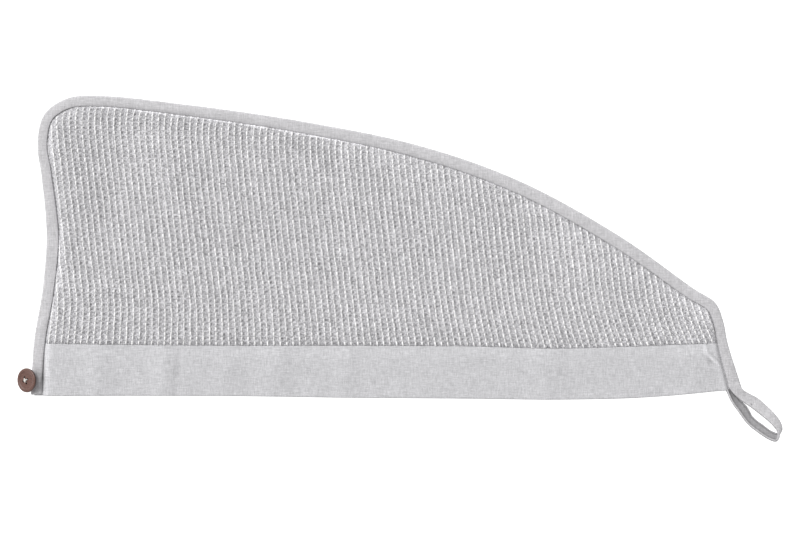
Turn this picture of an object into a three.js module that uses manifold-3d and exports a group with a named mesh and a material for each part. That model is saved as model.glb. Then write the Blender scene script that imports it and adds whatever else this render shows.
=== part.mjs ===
// A hair towel of the turban kind, laid flat. Two teardrop panels of waffle cloth, each with a plain band along
// the opening, lie one over the other. A binding is folded round the curved seam that joins them, a button is sewn
// to the wide end of it, and a strip carries it on past the narrow end as a loop.
// Millimetres. X runs along the opening towards the loop, Y runs from the opening to the curved seam, and Z = 0 is
// the surface that the towel lies on.
import * as THREE from "three";
import { mergeVertices } from "three/addons/utils/BufferGeometryUtils.js";
import Module from "manifold-3d";

// Cloth thicknesses and the gap that pieces keep
const clothWall = 1.8;
const bindingWall = 0.9;
const loopWall = 1.2;
const gap = 0.3;

// The seam's stack, from the surface up: the lower lip of the binding, the upper panel's edge, the upper lip
const frontInSeam = bindingWall + gap;
const seamHeight = frontInSeam + clothWall + gap + bindingWall;
const foldRadius = seamHeight / 2;
const panelEdgeInset = 3.0;

// The hollow between the panels
const crownHeight = 10.6;
const openingDrop = 1.3;
const lipClearance = 0.4;
const lowerLipExtra = 2.4;

// Lines that follow the seam, as distances in from its outer edge. The upper panel reaches into the binding and its
// roll is shaped past the lip. The lower panel lies flat, edge to edge with the lower lip.
const rollLines = [lipClearance, 2.0, 4.2, 7.5, 12];
const frontLines = (section) => [panelEdgeInset, ...rollLines.map((line) => section.width + line)];
const backLines = (section) => [section.width + lowerLipExtra + gap, section.width + rollLines.at(-1)];
const panelSteps = { across: 36, up: 12 };
const bandSteps = 3;

// The seam's outer edge, from the button's corner up the wide end, along the curve and down to the loop's corner.
// width: how far the binding reaches in. roll: how far in the upper panel takes to rise. steps: sections to the next.
const seamRows = [
  { name: "button corner", x: -313.6, y: -107.2, width: 9.6, roll: 2.6, steps: 3 },
  { name: "wide hem", x: -311.2, y: -63.3, width: 9.8, roll: 2.4, steps: 2 },
  { name: "wide side low", x: -303.9, y: -18.3, width: 10.0, roll: 2.2, steps: 2 },
  { name: "wide side waist", x: -300.4, y: 28.0, width: 10.6, roll: 2.2, steps: 3 },
  { name: "wide side high", x: -304.6, y: 78.0, width: 9.0, roll: 2.6, steps: 2 },
  { name: "shoulder start", x: -308.1, y: 106.0, width: 8.4, roll: 3.5, steps: 3 },
  { name: "shoulder", x: -302.3, y: 131.2, width: 8.6, roll: 6, steps: 3 },
  { name: "shoulder end", x: -282.5, y: 145.0, width: 9.0, roll: 9, steps: 3 },
  { name: "crest", x: -254.6, y: 147.0, width: 9.3, roll: 12, steps: 3 },
  { name: "curve 1", x: -186.6, y: 140.2, width: 9.5, roll: 12, steps: 5 },
  { name: "curve 2", x: -84.6, y: 125.6, width: 10.0, roll: 12, steps: 5 },
  { name: "curve 3", x: 17.4, y: 104.5, width: 10.8, roll: 11, steps: 5 },
  { name: "curve 4", x: 102.4, y: 74.4, width: 10.8, roll: 11, steps: 5 },
  { name: "curve 5", x: 187.4, y: 27.6, width: 10.4, roll: 9, steps: 4 },
  { name: "curve end", x: 250.0, y: -16.8, width: 9.6, roll: 6, steps: 3 },
  { name: "point", x: 268.8, y: -29.2, width: 9.2, roll: 4, steps: 6 },
  { name: "narrow side", x: 275.2, y: -44.0, width: 8.8, roll: 3, steps: 6 },
  { name: "narrow hem", x: 279.2, y: -63.3, width: 9.0, roll: 2.6, steps: 3 },
  { name: "loop corner", x: 291.6, y: -102.8, width: 11.3, roll: 2.6, steps: 0 },
];

// The band's two edges between the ends of the seam: the opening, and the border with the waffle cloth
const hemRows = [
  { x: -220, opening: -107.0, border: -64.8 },
  { x: -130, opening: -107.4, border: -65.4 },
  { x: -50, opening: -108.6, border: -65.4 },
  { x: 60, opening: -109.5, border: -66.0 },
  { x: 130, opening: -110.3, border: -67.8 },
  { x: 190, opening: -109.6, border: -66.4 },
  { x: 235, opening: -107.2, border: -64.6 },
];

// Soft ridges (+) and hollows (-) of the upper layer: middle, half length, half width, turn from +X, height
const foldRows = [
  { name: "hollow beside the roll", x: -262, y: 32, length: 78, width: 17, turn: 86, height: -1.1 },
  { name: "shoulder hollow", x: -232, y: 116, length: 34, width: 14, turn: -22, height: -0.7 },
  { name: "wide end ridge", x: -199, y: 54, length: 46, width: 15, turn: -66, height: 0.9 },
  { name: "seam pucker", x: -38, y: 88, length: 22, width: 12, turn: -64, height: 0.9 },
  { name: "pucker's shade", x: -62, y: 86, length: 26, width: 11, turn: -34, height: -0.7 },
  { name: "middle hollow", x: 60, y: 40, length: 60, width: 20, turn: -40, height: -0.6 },
  { name: "narrow end ridge", x: 150, y: 10, length: 40, width: 14, turn: -58, height: 0.8 },
  { name: "hem swell 1", x: -254, y: -88, length: 30, width: 13, turn: 88, height: 0.6 },
  { name: "hem swell 2", x: -198, y: -88, length: 30, width: 12, turn: 90, height: 0.7 },
  { name: "hem swell 3", x: -104, y: -88, length: 28, width: 12, turn: 86, height: 0.5 },
  { name: "hem swell 4", x: 126, y: -88, length: 28, width: 13, turn: 96, height: 0.5 },
  { name: "narrow hem tuck", x: 252, y: -74, length: 13, width: 9, turn: -42, height: 0.8 },
];

// The loop strip, from the loop corner out and back: its edge on the surface, how far its other edge leans
// over from that in plan, and how high the other edge stands
const loopRows = [
  { x: 291.4, y: -103.8, leanX: -6.0, leanY: -0.6, rise: 4.4 },
  { x: 297.4, y: -106.2, leanX: -7.8, leanY: -4.6, rise: 4.4 },
  { x: 303.9, y: -109.7, leanX: -7.0, leanY: -7.4, rise: 4.2 },
  { x: 312.4, y: -116.9, leanX: -4.8, leanY: -8.2, rise: 4.6 },
  { x: 319.8, y: -124.5, leanX: -4.3, leanY: -7.4, rise: 5.6 },
  { x: 324.2, y: -131.2, leanX: -3.9, leanY: -6.8, rise: 6.4 },
  { x: 325.4, y: -136.9, leanX: -3.9, leanY: -6.5, rise: 6.6 },
  { x: 322.6, y: -140.4, leanX: -3.7, leanY: -6.4, rise: 6.8 },
  { x: 316.4, y: -138.4, leanX: -3.5, leanY: -6.4, rise: 7.0 },
  { x: 309.5, y: -133.4, leanX: -4.3, leanY: -6.3, rise: 7.0 },
  { x: 300.9, y: -126.6, leanX: -5.4, leanY: -5.4, rise: 6.8 },
  { x: 294.3, y: -118.2, leanX: -6.5, leanY: -3.8, rise: 6.2 },
  { x: 288.6, y: -110.4, leanX: -7.2, leanY: -2.2, rise: 5.4 },
  { x: 284.4, y: -103.9, leanX: -6.4, leanY: -0.4, rise: 4.4 },
];
const loopStepsPerRow = 3;

// Button: its rim on the surface at the wide end, tipped up towards the towel on its thread
const button = {
  radius: 10.3,
  thickness: 2.5,
  chamfer: 0.5,
  dishRadius: 7.4,
  dishDepth: 0.4,
  holeRadius: 1.0,
  holeReach: 2.6,
  holeTurn: 22,
  holeOffset: -0.9,
  tilt: 32,
  x: -315.5,
  y: -94.8,
  sides: 32,
};
const thread = { radius: 0.55, padRadius: 3.5, padHeight: 0.8, shankRadius: 1.1, sides: 8 };

const finishes = {
  waffle: { color: 0xc3c3c6, roughness: 0.95 },
  plain: { color: 0xcdcdcf, roughness: 0.9 },
  buttonBrown: { color: 0x80675f, roughness: 0.5 },
  white: { color: 0xf0ede8, roughness: 0.8 },
};

// Curves and columns worked out from the tables
const seamCurve = new THREE.CatmullRomCurve3(
  seamRows.map((row) => new THREE.Vector3(row.x, row.y, 0)),
  false,
  "centripetal",
);
const lastRow = seamRows.length - 1;

function rowNamed(name) {
  return seamRows.findIndex((row) => row.name === name);
}

function columnAt(rows, column, place) {
  const low = Math.min(Math.floor(place), rows.length - 2);
  return THREE.MathUtils.lerp(rows[low][column], rows[low + 1][column], place - low);
}

// The way in from the seam is square to a chord of it, and level along the hem, so that cloth edges meet there
function wayIn(place) {
  const chordReach = 0.55;
  const before = seamCurve.getPoint(Math.max(0, place - chordReach) / lastRow);
  const after = seamCurve.getPoint(Math.min(lastRow, place + chordReach) / lastRow);
  const square = new THREE.Vector3(after.y - before.y, before.x - after.x, 0).normalize();
  const fromHem = Math.min(place - rowNamed("wide hem"), rowNamed("narrow hem") - place);
  const level = new THREE.Vector3(place < lastRow / 2 ? 1 : -1, 0, 0);
  return level.lerp(square, THREE.MathUtils.smoothstep(fromHem, 0, 1)).normalize();
}

function sectionAt(place) {
  return {
    place,
    edge: seamCurve.getPoint(place / lastRow),
    inward: wayIn(place),
    width: columnAt(seamRows, "width", place),
    roll: columnAt(seamRows, "roll", place),
  };
}

const sections = seamRows.flatMap((row, i) =>
  Array.from({ length: row.steps }, (_, k) => sectionAt(i + k / row.steps)),
);
sections.push(sectionAt(lastRow));

function sectionsBetween(first, last) {
  return sections.filter((s) => s.place >= rowNamed(first) - 1e-6 && s.place <= rowNamed(last) + 1e-6);
}

function inset(section, distance) {
  return section.edge.clone().addScaledVector(section.inward, distance);
}

function nearestSection(point) {
  let best = sections[0];
  let bestDistance = Infinity;
  for (const section of sections) {
    const distance = Math.hypot(point.x - section.edge.x, point.y - section.edge.y);
    if (distance < bestDistance) {
      best = section;
      bestDistance = distance;
    }
  }
  return { section: best, distance: bestDistance };
}

// Height of the upper layer
function foldHeight(x, y) {
  let sum = 0;
  for (const fold of foldRows) {
    const angle = THREE.MathUtils.degToRad(fold.turn);
    const dx = x - fold.x;
    const dy = y - fold.y;
    const along = (dx * Math.cos(angle) + dy * Math.sin(angle)) / fold.length;
    const across = (dy * Math.cos(angle) - dx * Math.sin(angle)) / fold.width;
    sum += fold.height * Math.exp(-along * along - across * across);
  }
  return sum;
}

function frontTop(point) {
  const { section, distance } = nearestSection(point);
  const inside = Math.max(0, distance - section.width - lipClearance);
  const risen = 1 - Math.exp(-inside / section.roll);
  const lowered = openingDrop * (1 - THREE.MathUtils.smoothstep(point.y, -108, -62));
  const channelTop = frontInSeam + clothWall;
  const crown = crownHeight - lowered + foldHeight(point.x, point.y);
  return channelTop + (crown - channelTop) * risen;
}

// A patch of points between four edge lines, each blended across to the one facing it
function blendedPatch(bottom, top, left, right) {
  const across = bottom.length - 1;
  const up = left.length - 1;
  const grid = [];
  for (let j = 0; j <= up; j++) {
    const v = j / up;
    grid.push(
      bottom.map((low, i) => {
        const u = i / across;
        const between = low.clone().multiplyScalar(1 - v).addScaledVector(top[i], v);
        between.addScaledVector(left[j], 1 - u).addScaledVector(right[j], u);
        between.addScaledVector(bottom[0], -(1 - u) * (1 - v)).addScaledVector(bottom[across], -u * (1 - v));
        return between.addScaledVector(top[0], -(1 - u) * v).addScaledVector(top[across], -u * v);
      }),
    );
  }
  return grid;
}

function hemLine(column, from, to, steps) {
  const middle = hemRows.map((row) => new THREE.Vector3(row.x, row[column], 0));
  return new THREE.CatmullRomCurve3([from, ...middle, to], false, "centripetal").getSpacedPoints(steps);
}

// Grids of points, rows running left to right and then up, become one sheet whose shared points are merged
function sheetOf(grids) {
  const corners = [];
  for (const grid of grids) {
    for (let j = 0; j < grid.length - 1; j++) {
      for (let i = 0; i < grid[j].length - 1; i++) {
        const [a, b, c, d] = [grid[j][i], grid[j][i + 1], grid[j + 1][i + 1], grid[j + 1][i]];
        corners.push(a, b, c, a, c, d);
      }
    }
  }
  const sheet = new THREE.BufferGeometry().setFromPoints(corners);
  return mergeVertices(sheet, 1e-3);
}

function raise(sheet, heightOf) {
  const place = sheet.getAttribute("position");
  const point = new THREE.Vector3();
  for (let i = 0; i < place.count; i++) {
    place.setZ(i, heightOf(point.fromBufferAttribute(place, i)));
  }
}

// The other face of a sheet, and the walls round its edge, make it one closed body
function thickened(sheet, shiftOf) {
  const place = sheet.getAttribute("position");
  const normals = sheet.getAttribute("normal");
  const index = Array.from(sheet.index.array);
  const count = place.count;
  const points = Array.from(place.array);
  for (let i = 0; i < count; i++) {
    const point = new THREE.Vector3().fromBufferAttribute(place, i);
    const normal = new THREE.Vector3().fromBufferAttribute(normals, i);
    points.push(...point.add(shiftOf(point, normal)).toArray());
  }
  const directed = new Set();
  const faces = [];
  for (let t = 0; t < index.length; t += 3) {
    const [a, b, c] = index.slice(t, t + 3);
    directed.add(`${a} ${b}`).add(`${b} ${c}`).add(`${c} ${a}`);
    faces.push(a, b, c, a + count, c + count, b + count);
  }
  for (const edge of directed) {
    const [a, b] = edge.split(" ").map(Number);
    if (!directed.has(`${b} ${a}`)) {
      faces.push(b, a, a + count, b, a + count, b + count);
    }
  }
  return closed(points, faces);
}

function closed(points, faces) {
  const body = new THREE.BufferGeometry();
  body.setAttribute("position", new THREE.Float32BufferAttribute(points, 3));
  body.setIndex(faces);
  return body;
}

// Plan of a waffle panel: a frame of lines that follow the seam, and a patch inside it down to the border
function panelPlan(linesOf) {
  const ribs = sectionsBetween("wide hem", "narrow hem").map((section) =>
    linesOf(section).map((distance) => inset(section, distance)),
  );
  for (const rib of [ribs[0], ribs.at(-1)]) {
    rib.forEach((point) => (point.y += gap / 2));
  }
  const inner = ribs.map((rib) => rib.at(-1));
  const left = inner.slice(0, panelSteps.up + 1);
  const top = inner.slice(panelSteps.up, panelSteps.up + panelSteps.across + 1);
  const right = inner.slice(panelSteps.up + panelSteps.across).reverse();
  const border = hemLine("border", left[0], right[0], panelSteps.across);
  border.slice(1, -1).forEach((point) => (point.y += gap / 2));
  const frame = ribs[0].map((_, k) => ribs.map((rib) => rib[k])).reverse();
  return [frame, blendedPatch(border, top, left, right)];
}

// Plan of a plain band: the same frame lines at its two ends, and a patch between them
function bandPlan(linesOf) {
  const ends = [sectionsBetween("button corner", "wide hem"), sectionsBetween("narrow hem", "loop corner").reverse()];
  const [left, right] = ends.map((side) =>
    side.map((section) => linesOf(section).map((distance) => inset(section, distance))),
  );
  for (const rib of [left.at(-1), right.at(-1)]) {
    rib.forEach((point) => (point.y -= gap / 2));
  }
  const leftInner = left.map((rib) => rib.at(-1));
  const rightInner = right.map((rib) => rib.at(-1));
  const opening = hemLine("opening", leftInner[0], rightInner[0], panelSteps.across);
  const border = hemLine("border", leftInner.at(-1), rightInner.at(-1), panelSteps.across);
  border.slice(1, -1).forEach((point) => (point.y -= gap / 2));
  return [left, blendedPatch(opening, border, leftInner, rightInner), right.map((rib) => rib.reverse())];
}

// Upper layer: square to its own face all over, and upright along the cut edges of the hem
function frontLayer(plan, cutHeights) {
  const sheet = sheetOf(plan);
  raise(sheet, frontTop);
  sheet.computeVertexNormals();
  const onCut = (point) => cutHeights(point.x).some((y) => Math.abs(point.y - y) < 0.2);
  return thickened(sheet, (point, normal) => {
    if (onCut(point)) {
      normal.y = 0;
    }
    return normal.normalize().multiplyScalar(-clothWall);
  });
}

// Lower layer: flat on the surface
function backLayer(plan) {
  const sheet = sheetOf(plan);
  raise(sheet, () => clothWall);
  sheet.computeVertexNormals();
  return thickened(sheet, () => new THREE.Vector3(0, 0, -clothWall));
}

function edgeHeights(grid, row) {
  const line = grid[row];
  return (x) => {
    const i = Math.max(1, line.findIndex((point) => point.x > x));
    const [a, b] = [line[i - 1], line[i]];
    return THREE.MathUtils.lerp(a.y, b.y, (x - a.x) / (b.x - a.x));
  };
}

// Sections swept into a closed body, each a ring of points, with flat ends
function swept(rings) {
  const size = rings[0].length;
  const points = rings.flat().flatMap((point) => point.toArray());
  const faces = [];
  for (let s = 0; s < rings.length - 1; s++) {
    for (let k = 0; k < size; k++) {
      const a = s * size + k;
      const b = s * size + ((k + 1) % size);
      faces.push(a, b, b + size, a, b + size, a + size);
    }
  }
  const outline = rings.map((ring) => flatRing(ring));
  for (const [a, b, c] of THREE.ShapeUtils.triangulateShape(outline[0], [])) {
    faces.push(a, c, b);
  }
  const last = (rings.length - 1) * size;
  for (const [a, b, c] of THREE.ShapeUtils.triangulateShape(outline.at(-1), [])) {
    faces.push(last + a, last + b, last + c);
  }
  return outward(closed(points, faces));
}

function flatRing(ring) {
  const middle = ring.reduce((sum, point) => sum.add(point), new THREE.Vector3()).divideScalar(ring.length);
  const across = ring[0].clone().sub(middle).normalize();
  const area = new THREE.Vector3();
  ring.forEach((point, i) => {
    const next = ring[(i + 1) % ring.length].clone().sub(middle);
    area.add(point.clone().sub(middle).cross(next));
  });
  const over = area.normalize().clone().cross(across);
  return ring.map((point) => {
    const arm = point.clone().sub(middle);
    return new THREE.Vector2(arm.dot(across), arm.dot(over));
  });
}

function outward(body) {
  const place = body.getAttribute("position");
  const index = body.index.array;
  let volume = 0;
  for (let t = 0; t < index.length; t += 3) {
    const [a, b, c] = [0, 1, 2].map((k) => new THREE.Vector3().fromBufferAttribute(place, index[t + k]));
    volume += a.dot(b.cross(c));
  }
  if (volume < 0) {
    for (let t = 0; t < index.length; t += 3) {
      [index[t + 1], index[t + 2]] = [index[t + 2], index[t + 1]];
    }
  }
  return body;
}

// Binding: a strip folded over the seam, a half round at the fold, a lip over the upper panel and one under it
function bindingBody() {
  const foldSteps = 4;
  const arc = (radius, from, to) =>
    Array.from({ length: foldSteps + 1 }, (_, k) => {
      const angle = THREE.MathUtils.lerp(from, to, k / foldSteps);
      return [foldRadius - radius * Math.cos(angle), foldRadius + radius * Math.sin(angle)];
    });
  const half = Math.PI / 2;
  const outer = arc(foldRadius, -half, half);
  const inner = arc(foldRadius - bindingWall, half, -half);
  return swept(
    sections.map((section) => {
      const lips = [
        [section.width + lowerLipExtra, 0],
        ...outer,
        [section.width, seamHeight],
        [section.width, seamHeight - bindingWall],
        ...inner,
        [section.width + lowerLipExtra, bindingWall],
      ];
      return lips.map(([distance, height]) => inset(section, distance).setZ(height));
    }),
  );
}

function loopBody() {
  const edge = new THREE.CatmullRomCurve3(
    loopRows.map((row) => new THREE.Vector3(row.x, row.y, 0)),
    false,
    "centripetal",
  );
  const last = loopRows.length - 1;
  const steps = last * loopStepsPerRow;
  const rings = Array.from({ length: steps + 1 }, (_, k) => {
    const place = k / loopStepsPerRow;
    const foot = edge.getPoint(k / steps).setZ(loopWall / 2 + 0.1);
    const across = new THREE.Vector3(
      columnAt(loopRows, "leanX", place),
      columnAt(loopRows, "leanY", place),
      columnAt(loopRows, "rise", place),
    );
    const face = edge.getTangent(k / steps).cross(across).normalize().multiplyScalar(loopWall / 2);
    const head = foot.clone().add(across);
    return [foot.clone().sub(face), foot.clone().add(face), head.clone().add(face), head.clone().sub(face)];
  });
  return swept(rings);
}

// Solids that are joined or cut
const wasm = await Module();
wasm.setup();

function solid(geometry) {
  const bare = geometry.clone();
  bare.deleteAttribute("normal");
  bare.deleteAttribute("uv");
  const merged = mergeVertices(bare, 1e-4);
  return new wasm.Manifold(
    new wasm.Mesh({
      numProp: 3,
      vertProperties: new Float32Array(merged.getAttribute("position").array),
      triVerts: new Uint32Array(merged.index.array),
    }),
  );
}

function geometryOf(manifold) {
  const mesh = manifold.getMesh();
  return closed(Array.from(mesh.vertProperties), Array.from(mesh.triVerts));
}

// A round rod between two points
function rod(from, to, radius, sides) {
  const reach = to.clone().sub(from);
  const shape = new THREE.CylinderGeometry(radius, radius, reach.length(), sides);
  shape.applyQuaternion(new THREE.Quaternion().setFromUnitVectors(THREE.Object3D.DEFAULT_UP, reach.normalize()));
  return shape.translate((from.x + to.x) / 2, (from.y + to.y) / 2, (from.z + to.z) / 2);
}

// The four holes stand a little nearer the wide end than the button's middle
const holeMiddle = new THREE.Vector2(button.holeOffset, 0);

function holePlaces() {
  return [0, 1, 2, 3].map((k) => {
    const angle = THREE.MathUtils.degToRad(button.holeTurn + 90 * k);
    const arm = new THREE.Vector2(Math.cos(angle), Math.sin(angle)).multiplyScalar(button.holeReach);
    return arm.add(holeMiddle);
  });
}

// In its own frame a button lies on Z = 0, face up, about the Z axis
function buttonBody() {
  const { radius, thickness, chamfer, dishRadius, dishDepth } = button;
  const profile = [
    [0, 0],
    [radius - 2 * chamfer, 0],
    [radius, 2 * chamfer],
    [radius, thickness - chamfer],
    [radius - chamfer, thickness],
    [dishRadius + 1, thickness],
    [dishRadius, thickness - dishDepth],
    [0, thickness - dishDepth],
  ].map(([x, y]) => new THREE.Vector2(x, y));
  const disc = new THREE.LatheGeometry(profile, button.sides).rotateX(Math.PI / 2);
  let body = solid(disc);
  for (const { x, y } of holePlaces()) {
    const low = new THREE.Vector3(x, y, -1);
    const high = new THREE.Vector3(x, y, thickness + 1);
    body = body.subtract(solid(rod(low, high, button.holeRadius, 12)));
  }
  return geometryOf(body);
}

// Thread in the button's frame: four legs, two crossed bars on the face, a pad below and the shank to the binding
function threadBody(shankEnd) {
  const padTop = -gap;
  const padLow = padTop - thread.padHeight;
  const barHeight = button.thickness - button.dishDepth + gap + thread.radius;
  const places = holePlaces();
  const at = (place, z) => new THREE.Vector3(place.x, place.y, z);
  const pieces = [
    ...places.map((place) => rod(at(place, padTop - 0.2), at(place, barHeight), thread.radius, thread.sides)),
    ...[0, 1].map((k) => rod(at(places[k], barHeight), at(places[k + 2], barHeight), thread.radius, thread.sides)),
    rod(at(holeMiddle, padLow), at(holeMiddle, padTop), thread.padRadius, 16),
    rod(at(holeMiddle, padLow + 0.2), shankEnd, thread.shankRadius, thread.sides),
  ];
  return geometryOf(pieces.map(solid).reduce((sum, piece) => sum.add(piece)));
}

// The button and its thread stand in one tipped frame whose lowest rim is a gap above the surface
const tipped = new THREE.Group();
const tiltAngle = THREE.MathUtils.degToRad(button.tilt);
tipped.rotation.y = -tiltAngle;
tipped.position.set(button.x, button.y, gap + (button.radius - 2 * button.chamfer) * Math.sin(tiltAngle));
tipped.updateMatrixWorld();

function shankEnd() {
  const section = sections.find((s) => s.edge.y >= button.y);
  const foldSide = new THREE.Vector3(section.edge.x - gap - 0.3, button.y, foldRadius);
  return tipped.worldToLocal(foldSide);
}

function piece(name, body, finish) {
  const material = new THREE.MeshStandardMaterial({ ...finishes[finish], metalness: 0 });
  const mesh = new THREE.Mesh(body, material);
  mesh.name = name;
  return mesh;
}

const frontPanelPlan = panelPlan(frontLines);
const frontBandPlan = bandPlan(frontLines);
const panelBorder = edgeHeights(frontPanelPlan[1], 0);
const bandOpening = edgeHeights(frontBandPlan[1], 0);
const bandBorder = edgeHeights(frontBandPlan[1], bandSteps);

const towel = new THREE.Group();
towel.add(
  piece("front_panel", frontLayer(frontPanelPlan, (x) => [panelBorder(x)]), "waffle"),
  piece("back_panel", backLayer(panelPlan(backLines)), "waffle"),
  piece("front_band", frontLayer(frontBandPlan, (x) => [bandOpening(x), bandBorder(x)]), "plain"),
  piece("back_band", backLayer(bandPlan(backLines)), "plain"),
  piece("binding", bindingBody(), "plain"),
  piece("loop", loopBody(), "plain"),
);
tipped.add(
  piece("button", buttonBody(), "buttonBrown"),
  piece("button_thread", threadBody(shankEnd()), "white"),
);
towel.add(tipped);

export default towel;
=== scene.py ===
# A hair towel of the turban kind, laid flat and seen from straight above.
# Lengths are millimetres until a mesh is made; meshes are in metres, in the model's own frame.
import math

import bpy
import numpy as np
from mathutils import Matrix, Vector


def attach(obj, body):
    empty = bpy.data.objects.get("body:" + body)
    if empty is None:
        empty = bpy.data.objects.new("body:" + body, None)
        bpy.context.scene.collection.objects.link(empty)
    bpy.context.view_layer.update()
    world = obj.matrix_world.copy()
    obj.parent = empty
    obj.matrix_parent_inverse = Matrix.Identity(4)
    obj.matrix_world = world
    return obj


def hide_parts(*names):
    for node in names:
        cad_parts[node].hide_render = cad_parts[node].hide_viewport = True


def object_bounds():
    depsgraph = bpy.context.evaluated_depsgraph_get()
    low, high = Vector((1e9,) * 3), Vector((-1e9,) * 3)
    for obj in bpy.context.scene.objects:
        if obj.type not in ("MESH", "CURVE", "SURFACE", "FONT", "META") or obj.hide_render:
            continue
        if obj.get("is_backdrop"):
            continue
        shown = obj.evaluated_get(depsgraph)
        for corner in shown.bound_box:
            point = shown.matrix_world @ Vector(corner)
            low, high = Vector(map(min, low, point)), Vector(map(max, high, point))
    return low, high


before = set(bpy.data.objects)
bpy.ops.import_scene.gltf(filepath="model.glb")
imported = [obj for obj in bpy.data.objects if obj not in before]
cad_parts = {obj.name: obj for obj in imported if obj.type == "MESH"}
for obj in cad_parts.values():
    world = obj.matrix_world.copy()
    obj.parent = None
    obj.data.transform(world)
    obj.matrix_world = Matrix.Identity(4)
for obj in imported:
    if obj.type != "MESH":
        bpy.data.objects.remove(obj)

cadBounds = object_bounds()
toMetres = 0.001

# Outer edge of the seam, from the button's corner up the wide end, along the curve and down to the loop's
# corner: x, y, how far the binding reaches in, how far in the upper layer takes to rise
seam = {
    "rows": [
        (-313.6, -107.2, 9.6, 2.6),
        (-311.2, -63.3, 9.8, 2.4),
        (-303.9, -18.3, 10.0, 2.2),
        (-300.4, 28.0, 10.6, 2.2),
        (-304.6, 78.0, 9.0, 2.6),
        (-308.1, 106.0, 8.4, 3.5),
        (-302.3, 131.2, 8.6, 6.0),
        (-282.5, 145.0, 9.0, 9.0),
        (-254.6, 147.0, 9.3, 12.0),
        (-186.6, 140.2, 9.5, 12.0),
        (-84.6, 125.6, 10.0, 12.0),
        (17.4, 104.5, 10.8, 11.0),
        (102.4, 74.4, 10.8, 11.0),
        (187.4, 27.6, 10.4, 9.0),
        (250.0, -16.8, 9.6, 6.0),
        (268.8, -29.2, 9.2, 4.0),
        (275.2, -44.0, 8.8, 3.0),
        (279.2, -63.3, 9.0, 2.6),
        (291.6, -102.8, 11.3, 2.6),
    ],
    "wideHem": 1,
    "narrowHem": 17,
    "spacing": 1.6,
    "chordReach": 0.55,
    "clothInset": 3.0,
    "fineSteps": 4000,
    "batch": 8000,
}

# Border and opening of the band, as x and y
hems = {
    "border": [(-330, -63.5), (-300, -63.7), (-220, -64.8), (-130, -65.4), (-50, -65.4), (60, -66.0),
               (130, -67.8), (190, -66.4), (235, -64.6), (272, -63.4), (300, -63.0)],
    "opening": [(-330, -107.2), (-300, -107.2), (-220, -107.0), (-130, -107.4), (-50, -108.6), (60, -109.5),
                (130, -110.3), (190, -109.3), (213, -108.1), (235, -106.5), (255, -104.6), (272, -103.0),
                (300, -102.4)],
    "fineSteps": 400,
}

# Heights of the upper layer
layers = {
    "channelTop": 3.0,
    "crown": 10.6,
    "openingDrop": 1.3,
    "dropBetween": (-108, -62),
    "lipClearance": 0.4,
    "wall": 1.8,
    "seamWall": 0.75,
    "fullWall": 4,
}

# Soft ridges (+) and hollows (-): middle x, y, half length, half width, turn from +X in degrees, height
folds = [
    (-250, 62, 62, 20, 86, -1.5),
    (-232, 116, 34, 14, -22, -0.8),
    (-190, 58, 50, 14, -72, 1.6),
    (-118, 118, 78, 9, -12, 1.1),
    (-38, 88, 22, 11, -64, 1.5),
    (-62, 86, 26, 10, -34, -1.0),
    (-76, 96, 22, 3.5, -50, -0.5),
    (108, 32, 54, 18, -50, -1.1),
    (160, 6, 44, 14, -60, 1.4),
    (-20, -66, 290, 7, 0, -0.5),
    (-254, -88, 30, 13, 88, 0.9),
    (-198, -88, 30, 12, 90, 0.9),
    (-187, -86, 22, 3.5, 86, -0.4),
    (-146, -88, 26, 9, 90, 0.5),
    (-104, -88, 28, 12, 86, 0.6),
    (-46, -88, 26, 9, 87, 0.5),
    (126, -88, 28, 13, 96, 0.7),
    (252, -78, 15, 9, -46, 0.9),
    (265, -75.5, 9, 1.5, -45, 0.75),
    (262, -78.5, 7, 1.7, -45, -0.8),
    (259.5, -68, 5, 1.4, -74, 0.5),
]


# Centripetal Catmull-Rom curve through points, one unit of place from each to the next
def curvePoints(points, places):
    points = np.asarray(points, float)
    ends = 2 * points[0] - points[1], 2 * points[-1] - points[-2]
    padded = np.vstack([ends[0], points, ends[1]])
    low = np.clip(np.floor(places).astype(int), 0, len(points) - 2)
    part = (np.asarray(places) - low)[:, None]
    a, b, c, d = (padded[low + k] for k in range(4))
    ab, bc, cd = (np.sqrt(np.linalg.norm(q - p, axis=1))[:, None] for p, q in ((a, b), (b, c), (c, d)))
    leave = ((b - a) / ab - (c - a) / (ab + bc) + (c - b) / bc) * bc
    arrive = ((c - b) / bc - (d - b) / (bc + cd) + (d - c) / cd) * bc
    square = -3 * b + 3 * c - 2 * leave - arrive
    cube = 2 * b - 2 * c + leave + arrive
    return b + leave * part + square * part**2 + cube * part**3


def smoothStep(value, low, high):
    part = np.clip((value - low) / (high - low), 0, 1)
    return part * part * (3 - 2 * part)


def hemAt(name, x):
    rows = np.array(hems[name], float)
    fine = curvePoints(rows, np.linspace(0, len(rows) - 1, hems["fineSteps"]))
    return np.interp(x, fine[:, 0], fine[:, 1])


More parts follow.
